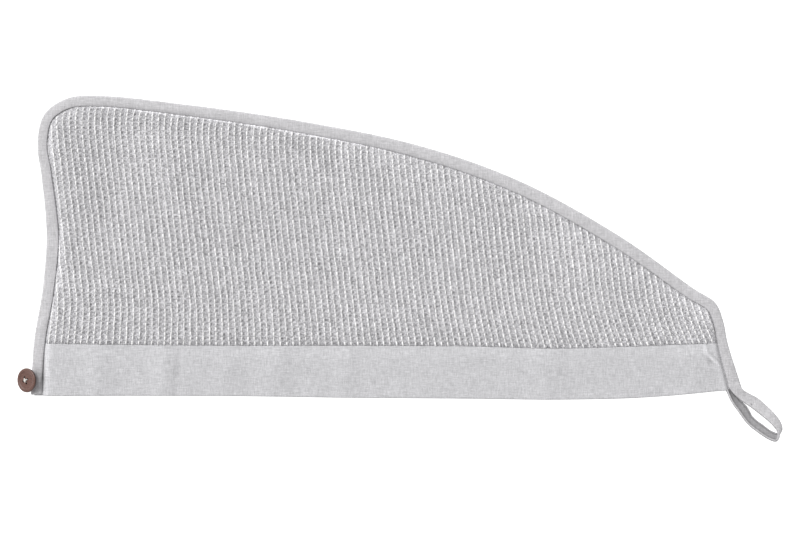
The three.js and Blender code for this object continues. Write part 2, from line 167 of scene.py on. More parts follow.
# Even steps along the seam, each with its place among the rows, the way in, and the widths there
def seamTable():
    rows = np.array(seam["rows"], float)
    last = len(rows) - 1
    finePlaces = np.linspace(0, last, seam["fineSteps"])
    fine = curvePoints(rows[:, :2], finePlaces)
    length = np.concatenate([[0], np.cumsum(np.linalg.norm(np.diff(fine, axis=0), axis=1))])
    steps = int(length[-1] / seam["spacing"])
    along = np.linspace(0, length[-1], steps + 1)
    places = np.interp(along, length, finePlaces)
    edge = curvePoints(rows[:, :2], places)
    before = curvePoints(rows[:, :2], np.maximum(places - seam["chordReach"], 0))
    after = curvePoints(rows[:, :2], np.minimum(places + seam["chordReach"], last))
    square = np.column_stack([after[:, 1] - before[:, 1], before[:, 0] - after[:, 0]])
    square /= np.linalg.norm(square, axis=1)[:, None]
    share = smoothStep(np.minimum(places - seam["wideHem"], seam["narrowHem"] - places), 0, 1)[:, None]
    level = np.column_stack([np.where(places < last / 2, 1.0, -1.0), np.zeros(len(places))])
    inward = level * (1 - share) + square * share
    inward /= np.linalg.norm(inward, axis=1)[:, None]
    width, roll = (np.interp(places, np.arange(last + 1), rows[:, k]) for k in (2, 3))
    return {"edge": edge, "inward": inward, "width": width, "roll": roll, "along": along, "place": places}


line = seamTable()


# Values of line at fractional indices, one or two columns
def lineAt(name, index):
    values, steps = line[name], np.arange(len(line[name]))
    if values.ndim == 1:
        return np.interp(index, steps, values)
    return np.column_stack([np.interp(index, steps, column) for column in values.T])


# Signed distance in from the seam's outer edge, and a fractional index into line, for each point
def nearSeam(points):
    edge = line["edge"]
    distance = np.empty(len(points))
    index = np.empty(len(points))
    for start in range(0, len(points), seam["batch"]):
        part = points[start:start + seam["batch"]]
        squared = ((part[:, None] - edge[None]) ** 2).sum(axis=2)
        near = np.argmin(squared, axis=1)
        best = np.sqrt(squared[np.arange(len(part)), near])
        at = near.astype(float)
        for low in (np.clip(near - 1, 0, len(edge) - 2), np.clip(near, 0, len(edge) - 2)):
            run = edge[low + 1] - edge[low]
            share = np.clip(((part - edge[low]) * run).sum(axis=1) / (run**2).sum(axis=1), 0, 1)
            gap = np.linalg.norm(part - edge[low] - share[:, None] * run, axis=1)
            closer = gap < best
            best = np.where(closer, gap, best)
            at = np.where(closer, low + share, at)
        row = np.round(at).astype(int)
        inside = ((part - edge[row]) * line["inward"][row]).sum(axis=1) > 0
        distance[start:start + len(part)] = np.where(inside, best, -best)
        index[start:start + len(part)] = at
    return distance, index


def insideLip(points):
    distance, index = nearSeam(points)
    return distance - lineAt("width", index) - layers["lipClearance"], index


# Sum of soft ridges at points, from rows as in folds
def foldHeight(points, rows):
    total = np.zeros(len(points))
    for x, y, length, width, turn, height in rows:
        angle = math.radians(turn)
        dx, dy = points[:, 0] - x, points[:, 1] - y
        alongIt = (dx * math.cos(angle) + dy * math.sin(angle)) / length
        acrossIt = (dy * math.cos(angle) - dx * math.sin(angle)) / width
        total += height * np.exp(-alongIt**2 - acrossIt**2)
    return total


def frontHeight(points):
    inside, index = insideLip(points)
    risen = 1 - np.exp(-np.maximum(inside, 0) / lineAt("roll", index))
    lowered = layers["openingDrop"] * (1 - smoothStep(points[:, 1], *layers["dropBetween"]))
    crown = layers["crown"] - lowered + foldHeight(points, folds)
    return layers["channelTop"] + (crown - layers["channelTop"]) * risen


# Painted light and shade in the cloth's tone: painted shading over the folds, a painted highlight on a steep
# roll beside the seam, where the light from one side would leave it dark, a painted highlight over the
# crevice under the top of the seam, and soft painted spots of shade and light with rows as in folds
clothShade = {
    "toLight": (-0.69, 0.72),
    "slopeStep": 0.5,
    "gain": 0.7,
    "leftRollLight": 0.11,
    "rightRollLight": 0.32,
    "rollPlace": (3.2, 3.0),
    "steepRoll": (3.5, 9),
    "topCreviceLight": 0.75,
    "topRoll": (10.6, 12),
    "topReach": (0.2, 1.6),
    "paintedSpots": [
        (-283, 122, 16, 9, 76, -0.12),
        (-150, 121, 110, 13, -9, -0.11),
        (-60, 88, 20, 11, -34, -0.06),
        (-240, 127, 20, 8, -6, -0.06),
        (-278, -8, 13, 46, 0, 0.06),
        (-222, -88, 34, 16, 0, 0.03),
        (-195, 74, 50, 13, -76, 0.03),
        (94, 38, 34, 17, -55, -0.035),
        (152, 4, 34, 15, -58, 0.03),
        (8, -53, 66, 10, 0, -0.035),
        (-302.7, -88, 13, 0.9, 86, -0.5),
        (-301.9, -93.6, 5.0, 1.9, 86, -0.3),
        (265.8, -77.6, 7.5, 0.9, -41, 0.36),
        (263.0, -78.6, 4.5, 1.4, -44, -0.26),
        (268.2, -76.2, 6.0, 0.85, -45, -0.28),
        (259.6, -68.6, 4.5, 1.1, -74, 0.20),
        (259.0, -76.5, 8.0, 2.2, -80, 0.13),
    ],
}


# Painted light and shade at points of the cloth, from clothShade
def paintedClothShading(points):
    inside, index = insideLip(points)
    roll = lineAt("roll", index)
    # Painted highlight on a steep roll beside the seam and over the crevice under the top of the seam
    steep = 1 - smoothStep(roll, *clothShade["steepRoll"])
    sideways = lineAt("inward", index)[:, 0]
    gain = clothShade["leftRollLight"] * np.clip(sideways, 0, 1)
    gain += clothShade["rightRollLight"] * np.clip(-sideways, 0, 1)
    middle, reach = clothShade["rollPlace"]
    pale = gain * steep * np.exp(-(((inside - middle) / reach) ** 2))
    crevice = smoothStep(roll, *clothShade["topRoll"]) * (1 - smoothStep(inside, *clothShade["topReach"]))
    pale += clothShade["topCreviceLight"] * crevice
    # Painted shading from the slope of the folds toward the light, and painted spots of shade and light
    step = np.array(clothShade["toLight"]) * clothShade["slopeStep"]
    slope = foldHeight(points + step, folds) - foldHeight(points - step, folds)
    return 1 + pale - clothShade["gain"] * slope + foldHeight(points, clothShade["paintedSpots"])


# Meshes and pieces. Every mesh has a tone at each point, by which its material's colour is multiplied; it
# holds painted light and shade, and on the floats the yarn's own uneven whiteness.
def linked(name, data):
    thing = bpy.data.objects.new(name, data)
    bpy.context.scene.collection.objects.link(thing)
    return thing


def makePiece(name, points, faces, material, nodes=(), uv=None, tone=1.0):
    mesh = bpy.data.meshes.new(name)
    mesh.from_pydata((np.asarray(points, float) * toMetres).tolist(), [], faces)
    mesh.materials.append(material)
    if uv is not None:
        corners = np.empty(len(mesh.loops), np.int32)
        mesh.loops.foreach_get("vertex_index", corners)
        weave = mesh.uv_layers.new(name="weave")
        weave.data.foreach_set("uv", np.asarray(uv, np.float32)[corners].ravel())
    painted = mesh.attributes.new("tone", "FLOAT", "POINT")
    values = np.broadcast_to(np.asarray(tone, np.float32), len(mesh.vertices))
    painted.data.foreach_set("value", values.copy())
    mesh.polygons.foreach_set("use_smooth", [True] * len(mesh.polygons))
    mesh.update()
    piece = linked(name, mesh)
    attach(piece, "root")
    if nodes:
        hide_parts(*nodes)
    return piece


# Quads of a grid of rows by columns points; around joins the last column to the first
def gridFaces(rows, columns, flip=False, around=False):
    count = columns if around else columns - 1
    j, i = np.meshgrid(np.arange(rows - 1), np.arange(count), indexing="ij")
    a = j * columns + i
    b = j * columns + (i + 1) % columns
    quads = np.stack([a, b, b + columns, a + columns], axis=-1).reshape(-1, 4)
    return (quads[:, ::-1] if flip else quads).tolist()


# Rings of points, each in the same turn, as one closed tube
def sweep(rings):
    rings = np.asarray(rings, float)
    count, size = rings.shape[:2]
    faces = gridFaces(count, size, around=True)
    faces += [list(range(size))[::-1], [(count - 1) * size + k for k in range(size)]]
    return rings.reshape(-1, 3), faces


# A round thread along points
def tube(points, radius, sides=8):
    points = np.asarray(points, float)
    tangent = np.gradient(points, axis=0)
    tangent /= np.linalg.norm(tangent, axis=1)[:, None]
    turn = np.arange(sides)[:, None] * 2 * math.pi / sides
    side = np.cross(tangent[0], [0.3, 0.5, 0.8])
    rings = []
    for point, way in zip(points, tangent):
        side = side - way * side.dot(way)
        side /= np.linalg.norm(side)
        over = np.cross(way, side)
        rings.append(point + radius * (np.cos(turn) * side + np.sin(turn) * over))
    return sweep(rings)


def joined(parts):
    points, faces, base = [], [], 0
    for some, more in parts:
        points.append(np.asarray(some, float))
        faces += [[k + base for k in face] for face in more]
        base += len(some)
    return np.vstack(points), faces


# Shader helpers: add(kind, inputs, **settings) makes a node; calc and noise give a result's socket
def wiring(tree):
    def add(kind, inputs=None, **settings):
        node = tree.nodes.new("ShaderNode" + kind)
        for key, value in settings.items():
            setattr(node, key, value)
        for key, value in (inputs or {}).items():
            if isinstance(value, bpy.types.NodeSocket):
                tree.links.new(value, node.inputs[key])
            else:
                node.inputs[key].default_value = value
        return node

    def calc(operation, *values):
        return add("Math", dict(enumerate(values)), operation=operation).outputs[0]

    def noise(place, scale, detail=2.0, roughness=0.6):
        inputs = {"Vector": place, "Scale": scale, "Detail": detail, "Roughness": roughness}
        return add("TexNoise", inputs).outputs[0]

    return add, calc, noise


def newGroup(name, inputs, outputs):
    tree = bpy.data.node_groups.new(name, "ShaderNodeTree")
    for way, sockets in (("INPUT", inputs), ("OUTPUT", outputs)):
        for label, kind in sockets.items():
            tree.interface.new_socket(name=label, in_out=way, socket_type="NodeSocket" + kind)
    source, result = tree.nodes.new("NodeGroupInput"), tree.nodes.new("NodeGroupOutput")
    return tree, source.outputs, result.inputs


def useGroup(add, name, inputs):
    return add("Group", inputs, node_tree=groups[name]).outputs


# What the cloths share: streaks along both threads, tufts and clouds of darker fibre
weaveLook = {
    "streaks": ((0.12, 1.5, 0.2), (1.5, 0.12, 0.2)),
    "streakGain": 0.75,
    "tuftScale": 1.35,
    "clouds": ((0.3, 0.14), (0.07, 0.12)),
}

# Waffle cloth. Places and sizes are in cells. The pits beside the columns and along the last row are painted
# darker, as shade with partly darker yarn; uneven maps a noise to how far they are darkened.
waffleLook = {
    "ground": (0.428, 0.423, 0.438),
    # Pit: painted shade with partly darker yarn
    "pit": (0.218, 0.214, 0.226),
    "column": (0.61, 0.603, 0.617),
    "columnShare": 0.75,
    "columnAcross": (0.5, 0.13),
    "pitAcross": (0.82, 0.17),
    "pitUp": (0.5, 0.26),
    "lastRowUp": (0.35, 0.45),
    "lastRowShare": 0.70,
    "uneven": {1: 0.36, 2: 0.64, 3: 0.1, 4: 1.25},
    "unevenScale": 0.7,
    "pitch": 0.75,
    "fleck": 0.95,
    "cloud": 2.0,
    "bump": (0.00016, 0.7),
    "roughness": 0.92,
    "sheen": 0.15,
}

# Plain cloth of the bands and of the binding's strip: colour and thread pitch
plainLook = {
    "band": ((0.500, 0.497, 0.511), 0.62),
    "strip": ((0.485, 0.478, 0.49), 0.55),
    "fleck": 0.15,
    "cloud": 1.2,
    "bump": (0.00012, 0.6),
    "roughness": 0.9,
    "sheen": 0.12,
}

# Yarn of the floats and of the sewing: colour and twist
yarnLook = {
    "warp": ((0.885, 0.875, 0.872), 0.7),
    "sewing": ((0.87, 0.85, 0.80), 0.5),
    "slant": 0.8,
    "patchScale": 0.8,
    "patches": (0.24, 0.88),
    "bump": (0.00008, 0.6),
    "roughness": 0.8,
    "sheen": 0.2,
}

# Brown wood: dark streaks along the grain and pale flecks
buttonLook = {
    "face": (0.130, 0.062, 0.048),
    "dark": (0.056, 0.026, 0.019),
    "pale": (0.22, 0.135, 0.11),
    "grainTurn": 0.6,
    "grainStretch": (0.35, 2.2, 0.8),
    "darkShare": {1: 0.38, 2: 0.66, 3: 0.0, 4: 0.75},
    "paleShare": {1: 0.55, 2: 0.72, 3: 0.0, 4: 0.7},
    "bump": (0.00008, 0.4),
    "roughness": 0.42,
    "sheen": 0.0,
}


# Plain weave, thread by thread: Place in millimetres, Pitch between threads; Height 0 to 1, Tone about 1
def plainWeaveGroup():
    inputs, outputs = {"Place": "Vector", "Pitch": "Float"}, {"Height": "Float", "Tone": "Float"}
    tree, source, result = newGroup("plainWeave", inputs, outputs)
    add, calc, noise = wiring(tree)
    place = add("SeparateXYZ", {0: source["Place"]}).outputs
    turns = [calc("DIVIDE", calc("MULTIPLY", place[k], math.pi), source["Pitch"]) for k in (0, 1)]
    checks = calc("MULTIPLY", calc("SINE", turns[0]), calc("SINE", turns[1]))
    streaks = []
    for stretch in weaveLook["streaks"]:
        moved = add("Mapping", {"Vector": source["Place"], "Scale": stretch}).outputs[0]
        streaks.append(noise(moved, 1.0, detail=3.0))
    both = calc("SUBTRACT", calc("ADD", *streaks), 1.0)
    tree.links.new(calc("MULTIPLY_ADD", checks, 0.5, 0.5), result["Height"])
    tree.links.new(calc("MULTIPLY_ADD", both, weaveLook["streakGain"], 1.0), result["Tone"])
    return tree


# Soft fleck of fibres that were dyed before spinning, about 1
def melangeGroup():
    inputs = {"Place": "Vector", "Fleck": "Float", "Cloud": "Float"}
    tree, source, result = newGroup("melange", inputs, {"Tone": "Float"})
    add, calc, noise = wiring(tree)
    tufts = add("TexVoronoi", {"Vector": source["Place"], "Scale": weaveLook["tuftScale"], "Randomness": 1.0})
    tuft = add("SeparateColor", {0: tufts.outputs["Color"]}).outputs[0]
    total = calc("MULTIPLY", calc("SUBTRACT", tuft, 0.5), source["Fleck"])
    for scale, share in weaveLook["clouds"]:
        cloud = calc("SUBTRACT", noise(source["Place"], scale, roughness=0.65), 0.5)
        total = calc("ADD", total, calc("MULTIPLY", calc("MULTIPLY", cloud, share), source["Cloud"]))
    tree.links.new(calc("ADD", total, 1.0), result["Tone"])
    return tree


# Waffle cell coordinates to masks. The white column stands at 0.5 across a cell, its float at 0.5 up it. The
# pit mask places painted shade, with partly darker yarn, beside the column and along the last row.
def waffleGroup():
    tree, source, result = newGroup("waffleCell", {"Cell": "Vector"}, {"Column": "Float", "PitShadeAndYarn": "Float"})
    add, calc, _ = wiring(tree)
    place = add("SeparateXYZ", {0: source["Cell"]}).outputs
    across, up = calc("FRACT", place[0]), calc("FRACT", place[1])

    def bump(value, middle, width):
        arm = calc("DIVIDE", calc("SUBTRACT", value, middle), width)
        return calc("EXPONENT", calc("MULTIPLY", calc("MULTIPLY", arm, arm), -1.0))

    column = bump(across, *waffleLook["columnAcross"])
    pit = calc("MULTIPLY", bump(across, *waffleLook["pitAcross"]), bump(up, *waffleLook["pitUp"]))
    beside = calc("SUBTRACT", waffleLook["lastRowShare"], column)
    lastRow = calc("MULTIPLY", bump(place[1], *waffleLook["lastRowUp"]), beside)
    tree.links.new(column, result["Column"])
    tree.links.new(calc("MAXIMUM", pit, lastRow), result["PitShadeAndYarn"])
    return tree


groups = {"plainWeave": plainWeaveGroup(), "melange": melangeGroup(), "waffleCell": waffleGroup()}


# Two colours, each a socket or three numbers, blended by a share
def mixed(add, blend, share, first, second):
    pair = [color if isinstance(color, bpy.types.NodeSocket) else (*color, 1) for color in (first, second)]
    return add("Mix", {0: share, 6: pair[0], 7: pair[1]}, data_type="RGBA", blend_type=blend).outputs[2]


def newMaterial(name, look):
    material = bpy.data.materials.new(name)
    material.use_nodes = True
    shader = material.node_tree.nodes["Principled BSDF"]
    shader.inputs["Roughness"].default_value = look["roughness"]
    shader.inputs["Sheen Weight"].default_value = look["sheen"]
    return material, shader, *wiring(material.node_tree)


def inMillimetres(add):
    place = add("TexCoord").outputs["Object"]
    return add("VectorMath", {0: place, 1: (1000, 1000, 1000)}, operation="MULTIPLY").outputs[0]


# Base colour times a tone, and a height as bump of some metres and strength
def dress(shader, add, color, tone, height, bump):
    grey = add("CombineColor", {0: tone, 1: tone, 2: tone}).outputs[0]
    links = shader.id_data.links
    links.new(mixed(add, "MULTIPLY", 1.0, color, grey), shader.inputs["Base Color"])
    relief = add("Bump", {"Height": height, "Distance": bump[0], "Strength": bump[1]}).outputs[0]
    links.new(relief, shader.inputs["Normal"])


# The mesh's tone attribute, which holds painted light and shade
def paintedTone(add):
    return add("Attribute", attribute_name="tone").outputs["Fac"]


# Weave height and the whole tone of a woven cloth, with the mesh's painted light and shade
def wovenCloth(add, calc, place, pitch, look):
    weave = useGroup(add, "plainWeave", {"Place": place, "Pitch": pitch})
    melange = useGroup(add, "melange", {"Place": place, "Fleck": look["fleck"], "Cloud": look["cloud"]})
    tone = calc("MULTIPLY", calc("MULTIPLY", melange["Tone"], weave["Tone"]), paintedTone(add))
    return weave["Height"], tone


def waffleMaterial():
    look = waffleLook
    material, shader, add, calc, noise = newMaterial("waffleCloth", look)
    place = inMillimetres(add)
    masks = useGroup(add, "waffleCell", {"Cell": add("UVMap", uv_map="weave").outputs[0]})
    depth = add("MapRange", {0: noise(place, look["unevenScale"]), **look["uneven"]}).outputs[0]
    # Pits take the pit colour: painted shade, with partly darker yarn
    ground = mixed(add, "MIX", calc("MULTIPLY", masks["PitShadeAndYarn"], depth), look["ground"], look["pit"])
    share = calc("MULTIPLY", masks["Column"], look["columnShare"])
    both = mixed(add, "MIX", share, ground, look["column"])
    height, tone = wovenCloth(add, calc, place, look["pitch"], look)
    dress(shader, add, both, tone, height, look["bump"])
    return material


def plainMaterial(name, color, pitch):
    material, shader, add, calc, _ = newMaterial(name, plainLook)
    height, tone = wovenCloth(add, calc, inMillimetres(add), pitch, plainLook)
    dress(shader, add, color, tone, height, plainLook["bump"])
    return material


def yarnMaterial(name, color, pitch):
    material, shader, add, calc, noise = newMaterial(name, yarnLook)
    place = inMillimetres(add)
    parts = add("SeparateXYZ", {0: place}).outputs
    slant = calc("MULTIPLY_ADD", parts[0], yarnLook["slant"], parts[1])
    twist = calc("SINE", calc("MULTIPLY", slant, 2 * math.pi / pitch))
    patches = calc("MULTIPLY_ADD", noise(place, yarnLook["patchScale"], roughness=0.5), *yarnLook["patches"])
    dress(shader, add, color, calc("MULTIPLY", paintedTone(add), patches), twist, yarnLook["bump"])
    return material


def buttonMaterial():
    look = buttonLook
    material, shader, add, _, noise = newMaterial("brownButton", look)
    place = inMillimetres(add)
    grainWay = {"Vector": place, "Rotation": (0, 0, look["grainTurn"]), "Scale": look["grainStretch"]}
    streak = noise(add("Mapping", grainWay).outputs[0], 0.8, detail=4.0)
    fleck = noise(place, 1.6, detail=3.0, roughness=0.7)
    darkShare = add("MapRange", {0: streak, **look["darkShare"]}).outputs[0]
    paleShare = add("MapRange", {0: fleck, **look["paleShare"]}).outputs[0]
    base = mixed(add, "MIX", darkShare, look["face"], look["dark"])
    wood = mixed(add, "MIX", paleShare, base, look["pale"])
    dress(shader, add, wood, paintedTone(add), streak, look["bump"])
    return material


materials = {
    "waffle": waffleMaterial(),
    "plain": plainMaterial("plainCloth", *plainLook["band"]),
    "strip": plainMaterial("bindingStrip", *plainLook["strip"]),
    "warp": yarnMaterial("warpYarn", *yarnLook["warp"]),
    "thread": yarnMaterial("sewingThread", *yarnLook["sewing"]),
    "button": buttonMaterial(),
}
print("materials", len(materials))

# Waffle panels. Columns of white floats stand on ridges a pitch apart and lean with the cloth's grain.
waffle = {
    "firstColumn": -302.6,
    "pitch": 5.46,
    "floatPitch": 3.95,
    "columns": 108,
    "rows": 54,
    "ridge": 0.55,
    "ridgeWidth": 0.17,
    "cross": 0.32,
    "pit": 0.36,
    "crossUnderColumn": 0.6,
    "pitBeside": 0.85,
    "pitSize": (0.25, 0.28),
    "reliefFrom": (-1.0, 2.5),
    "tuck": 1.6,
    "tuckDepth": 0.1,
    "tuckFrom": 3,
    "keep": 3.2,
    "snapUnder": (0.3, 0.15),
    "snapOver": (0.65, 0.27),
    "sway": 0.22,
    "swayLikeness": (0.75, 0.35),
    "uneven": 0.10,
    "seed": 3,
}

# Lean of the columns, as x lost for each millimetre up: level in the middle of the cloth, drawn aside by the
# border and gathered the other way under the top of the seam
grain = {
    "left": -289,
    "span": 553,
    "border": -65,
    "middle": 0.12,
    "borderLeft": -0.12,
    "borderRight": 0.41,
    "borderReach": (6, 54),
    "gathered": -0.40,
    "gatherReach": 10,
    "gatherEnds": (-130, 30),
    "gatherHeight": (40, 90),
}


def leanAt(points):
    share = (points[:, 0] - grain["left"]) / grain["span"]
    atBorder = grain["borderLeft"] + (grain["borderRight"] - grain["borderLeft"]) * share
    near = 1 - smoothStep(points[:, 1] - grain["border"], *grain["borderReach"])
    inside, index = insideLip(points)
    downward = np.clip(-lineAt("inward", index)[:, 1], 0, 1)
    gathered = grain["gathered"] * downward**2 * np.exp(-np.maximum(inside, 0) / grain["gatherReach"])
    gathered *= smoothStep(points[:, 1], *grain["gatherHeight"])
    gathered *= 1 - smoothStep(points[:, 0], *grain["gatherEnds"])
    return grain["middle"] + (atBorder - grain["middle"]) * near + gathered


# Small wander of each column, with neighbours partly alike, the same each run
def swayField(shape, perColumn, perRow):
    random = np.random.default_rng(waffle["seed"])
    own, neighbour = waffle["swayLikeness"]
    coarse = random.normal(0, 1, (shape[0] // (2 * perRow) + 3, shape[1] // perColumn + 3))
    coarse[:, 1:] = own * coarse[:, 1:] + neighbour * coarse[:, :-1]
    j = np.arange(shape[0]) / (2 * perRow)
    i = np.arange(shape[1]) / perColumn
    low, left = j.astype(int), i.astype(int)
    dj = smoothStep(j - low, 0, 1)[:, None]
    di = smoothStep(i - left, 0, 1)[None]
    square = [coarse[np.ix_(low + a, left + b)] for a in (0, 1) for b in (0, 1)]
    upper = square[2] * (1 - di) + square[3] * di
    return waffle["sway"] * ((square[0] * (1 - di) + square[1] * di) * (1 - dj) + upper * dj)


# Points of the cloth in plan, row by row from the border up, and their cell coordinates
def weaveLattice(perColumn, perRow):
    across = np.arange(waffle["columns"] * perColumn + 1) / perColumn
    up = np.arange(waffle["rows"] * perRow + 1) / perRow
    x = np.empty((len(up), len(across)))
    x[0] = waffle["firstColumn"] + waffle["pitch"] * (across - 0.5)
    y = hemAt("border", x[0])[None] + up[:, None] * waffle["floatPitch"]
    step = waffle["floatPitch"] / perRow
    for j in range(1, len(up)):
        if (j - 1) % perRow == 0:
            lean = leanAt(np.column_stack([x[j - 1], y[j - 1]]))
        x[j] = x[j - 1] - lean * step
    x += swayField(x.shape, perColumn, perRow) * smoothStep(up, 0, 1.5)[:, None]
    cells = np.stack(np.meshgrid(across, up), axis=-1)
    return np.stack([x, y], axis=-1), cells


def reliefAt(cells):
    across, up = np.mod(cells[..., 0], 1), np.mod(cells[..., 1], 1)
    column = np.exp(-(((across - 0.5) / waffle["ridgeWidth"]) ** 2))
    cross = 0.5 + 0.5 * np.cos(2 * math.pi * up)
    beside = np.minimum(np.abs(across - waffle["pitBeside"]), np.abs(across - waffle["pitBeside"] + 1))
    wide, tall = waffle["pitSize"]
    pit = np.exp(-((beside / wide) ** 2)) * np.exp(-(((up - 0.5) / tall) ** 2))
    return (
        waffle["ridge"] * column * (0.8 + 0.2 * np.cos(2 * math.pi * (up - 0.5)))
        + waffle["cross"] * cross**2 * (1 - waffle["crossUnderColumn"] * column)
        - waffle["pit"] * pit
    )


def keptCells(corners):
    rows, columns = corners.shape[:2]
    distance, _ = nearSeam(corners.reshape(-1, 2))
    deep = (distance > waffle["keep"]).reshape(rows, columns)
    return deep[:-1, :-1] & deep[1:, :-1] & deep[:-1, 1:] & deep[1:, 1:]


# Points beside the binding's lip move onto one line, so that the crevice there is crisp
def snapToLip(grid, chosen, rim):
    points = grid[chosen]
    inside, index = insideLip(points)
    inward = lineAt("inward", index)
    level = np.abs(inward[:, 0])
    under, over = waffle["snapUnder"], waffle["snapOver"]
    close = (inside > -under[0] - under[1] * level) & (inside < over[0] + over[1] * level)
    around = np.pad(rim, 1)
    rows, columns = rim.shape
    beside = np.logical_or.reduce([around[j:j + rows, i:i + columns] for j in (0, 1, 2) for i in (0, 1, 2)])
    close |= beside[chosen] & (inside > 0)
    points[close] -= inward[close] * inside[close][:, None]
    grid[chosen] = points


# How many of the up to four cells that meet at each grid point are kept
def touching(kept, shape, perColumn, perRow):
    padded = np.pad(kept, 1)
    j, i = np.meshgrid(np.arange(shape[0]), np.arange(shape[1]), indexing="ij")
    total = np.zeros(shape, int)
    for dj in (-1, 0):
        for di in (-1, 0):
            total += padded[(j + dj) // perRow + 1, (i + di) // perColumn + 1]
    return total


# Quads between numbered points, in the chosen cells
def quadsOf(number, chosen, perColumn, perRow):
    within = np.repeat(np.repeat(chosen, perRow, axis=0), perColumn, axis=1)
    corners = number[:-1, :-1], number[:-1, 1:], number[1:, 1:], number[1:, :-1]
    return np.column_stack([corner[within] for corner in corners]).tolist()


def numbered(chosen, first=0):
    number = np.full(chosen.shape, -1)
    number[chosen] = first + np.arange(chosen.sum())
    return number


# One panel: a fine outer face, an inner face that is coarse away from the seam, and the edge between them
def wafflePanel(panel):
    perColumn, perRow = panel["perColumn"], panel["perRow"]
    grid, cells = weaveLattice(perColumn, perRow)
    kept = keptCells(grid[::perRow, ::perColumn])
    meeting = touching(kept, grid.shape[:2], perColumn, perRow)
    used = meeting > 0
    rim = used & (meeting < 4)
    rim[0] = used[0] & (touching(kept, (1, used.shape[1]), perColumn, perRow)[0] < 2)
    _, index = nearSeam(grid[rim])
    grid[rim] = lineAt("edge", index) + lineAt("inward", index) * seam["clothInset"]
    snapToLip(grid, used & ~rim, rim)

    flat, uv = grid[used], cells[used]
    inside, _ = insideLip(flat)
    uneven = np.random.default_rng(waffle["seed"] + 1).normal(0, waffle["uneven"], len(flat))
    relief = (reliefAt(uv) + uneven) * smoothStep(inside, *waffle["reliefFrom"])
    tucked = smoothStep(uv[:, 1] * waffle["floatPitch"], 0, waffle["tuck"])
    relief = relief * tucked - waffle["tuckDepth"] * (1 - tucked) * smoothStep(inside, 0, waffle["tuckFrom"])
    outer = np.column_stack([flat, panel["outer"](flat, relief)])
    top = numbered(used)

    corners = np.full(used.shape, np.inf)
    corners[used] = inside
    corners = corners[::perRow, ::perColumn]
    nearest = np.minimum.reduce([corners[:-1, :-1], corners[1:, :-1], corners[:-1, 1:], corners[1:, 1:]])
    fine = kept & (nearest < panel["fineWithin"])
    usedBelow = touching(fine, used.shape, perColumn, perRow) > 0
    usedBelow[::perRow, ::perColumn] |= used[::perRow, ::perColumn]
    inner = np.column_stack([grid[usedBelow], panel["inner"](grid[usedBelow])])
    below = numbered(usedBelow, len(outer))

    faces = quadsOf(top, kept, perColumn, perRow)
    faces += [quad[:1] + quad[:0:-1] for quad in quadsOf(below, fine, perColumn, perRow)]
    bare = ~np.pad(kept, 1)
    for r, k in np.argwhere(kept).tolist():
        j0, j1, i0, i1 = r * perRow, (r + 1) * perRow, k * perColumn, (k + 1) * perColumn
        sides = (
            (bare[r, k + 1], [(j0, i) for i in range(i0, i1 + 1)]),
            (bare[r + 1, k + 2], [(j, i1) for j in range(j0, j1 + 1)]),
            (bare[r + 2, k + 1], [(j1, i) for i in range(i1, i0 - 1, -1)]),
            (bare[r + 1, k], [(j, i0) for j in range(j1, j0 - 1, -1)]),
        )
        if not fine[r, k]:
            around = [place for _, run in sides for place in run[:-1] if usedBelow[place]]
            faces.append([int(below[place]) for place in around[::-1]])
        for exposed, run in sides:
            if exposed:
                low = [int(below[place]) for place in run if usedBelow[place]]
                faces.append([int(top[place]) for place in run[::-1]] + low)
    if panel["faceDown"]:
        faces = [face[::-1] for face in faces]
    points, uv = np.vstack([outer, inner]), np.vstack([uv, cells[usedBelow]])
    # The panel's tone is painted light and shade
    tone = paintedClothShading(points[:, :2])
    name, node = panel["name"], panel["node"]
    piece = makePiece(name, points, faces, materials["waffle"], [node], uv=uv, tone=tone)
    return piece, grid, kept


# White yarn that passes over the ridge of every cell, as separate small humps. Stations are places along the
# hump with its width and height there; tone is mean and spread, and sizes and tones are limits.
floats = {
    "halfLength": 1.66,
    "halfWidth": 0.62,
    "height": 0.6,
    "pressed": 0.55,
    "sink": 0.12,
    "inside": 0.9,
    "slopeReach": 0.6,
    "stations": [(-1.0, 0.35, 0.1), (-0.55, 0.95, 0.9), (0.5, 1.0, 1.0), (1.0, 0.35, 0.1)],
    "arc": 5,
    "jitter": 0.11,
    "unlike": 0.12,
    "sizes": (0.6, 1.4),
    "tone": (0.95, 0.10),
    "tones": (0.65, 1.15),
    "seed": 5,
}


